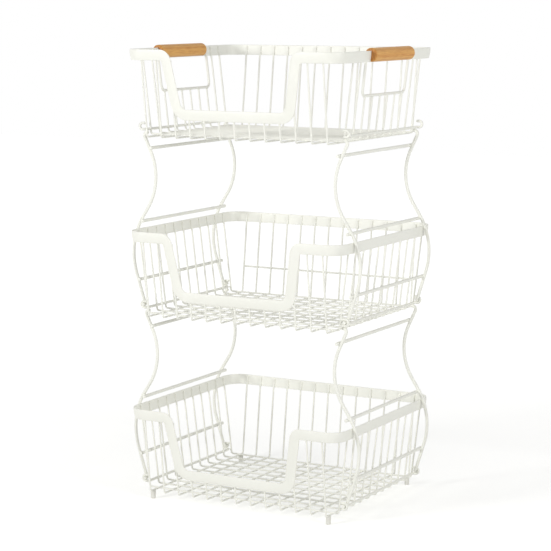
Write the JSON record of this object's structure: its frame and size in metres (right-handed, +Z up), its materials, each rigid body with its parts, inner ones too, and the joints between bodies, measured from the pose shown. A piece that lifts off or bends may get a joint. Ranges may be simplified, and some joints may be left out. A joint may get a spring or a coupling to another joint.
{
  "type": "tiered wire basket",
  "caption": "Stacked open-fronted white steel wire baskets on S-shaped folding side frames, the top one with round wooden grips, for storing produce or household goods.",
  "frame": {"origin": "middle of the footprint, on the surface that the feet stand on", "axes": "+Z up, the open front faces -Y, +X to the right of a person facing the front"},
  "size_m": [0.3866, 0.315, 0.6817],
  "materials": {
    "white_powder_coat": "smooth satin white powder coat",
    "beech_wood": "oiled light brown hardwood",
    "foot_plastic": "moulded off-white plastic"
  },
  "bodies": {
    "bottom_basket": {"bottom_rim_band": "white_powder_coat", "bottom_lengthwise_wires": "white_powder_coat", "bottom_crosswise_wires": "white_powder_coat", "bottom_left_rail": "white_powder_coat", "bottom_right_rail": "white_powder_coat", "front_left_foot": "foot_plastic", "front_right_foot": "foot_plastic", "rear_left_foot": "foot_plastic", "rear_right_foot": "foot_plastic"},
    "middle_basket": {"middle_rim_band": "white_powder_coat", "middle_lengthwise_wires": "white_powder_coat", "middle_crosswise_wires": "white_powder_coat", "middle_left_rail": "white_powder_coat", "middle_right_rail": "white_powder_coat", "middle_back_wire": "white_powder_coat"},
    "top_basket": {"top_rim_band": "white_powder_coat", "top_lengthwise_wires": "white_powder_coat", "top_crosswise_wires": "white_powder_coat", "top_left_rail": "white_powder_coat", "top_right_rail": "white_powder_coat", "top_left_guard": "white_powder_coat", "top_left_grip": "beech_wood", "top_right_guard": "white_powder_coat", "top_right_grip": "beech_wood"},
    "lower_left_frame": {"lower_left_front_leg": "white_powder_coat", "lower_left_rear_leg": "white_powder_coat", "lower_left_seat_bar": "white_powder_coat", "lower_left_rim_bar": "white_powder_coat", "lower_left_wall_bar": "white_powder_coat"},
    "lower_right_frame": {"lower_right_front_leg": "white_powder_coat", "lower_right_rear_leg": "white_powder_coat", "lower_right_seat_bar": "white_powder_coat", "lower_right_rim_bar": "white_powder_coat", "lower_right_wall_bar": "white_powder_coat"},
    "upper_left_frame": {"upper_left_front_leg": "white_powder_coat", "upper_left_rear_leg": "white_powder_coat", "upper_left_seat_bar": "white_powder_coat", "upper_left_rim_bar": "white_powder_coat", "upper_left_wall_bar": "white_powder_coat"},
    "upper_right_frame": {"upper_right_front_leg": "white_powder_coat", "upper_right_rear_leg": "white_powder_coat", "upper_right_seat_bar": "white_powder_coat", "upper_right_rim_bar": "white_powder_coat", "upper_right_wall_bar": "white_powder_coat"}
  },
  "joints": [
    {"name": "lower_left_fold", "type": "hinge", "parent": "bottom_basket", "child": "lower_left_frame", "pos_m": [-0.16997, 0, 0.02708], "axis": [0, -1, 0], "range_deg": [0, 75]},
    {"name": "lower_right_fold", "type": "hinge", "parent": "bottom_basket", "child": "lower_right_frame", "pos_m": [0.16997, 0, 0.02708], "axis": [0, 1, 0], "range_deg": [0, 75]},
    {"name": "middle_lift", "type": "slide", "parent": "bottom_basket", "child": "middle_basket", "axis": [0, 0, 1], "range_m": [0, 0.1]},
    {"name": "upper_left_fold", "type": "hinge", "parent": "middle_basket", "child": "upper_left_frame", "pos_m": [-0.16997, 0, 0.29508], "axis": [0, -1, 0], "range_deg": [0, 75]},
    {"name": "upper_right_fold", "type": "hinge", "parent": "middle_basket", "child": "upper_right_frame", "pos_m": [0.16997, 0, 0.29508], "axis": [0, 1, 0], "range_deg": [0, 75]},
    {"name": "top_lift", "type": "slide", "parent": "middle_basket", "child": "top_basket", "axis": [0, 0, 1], "range_m": [0, 0.1]}
  ]
}
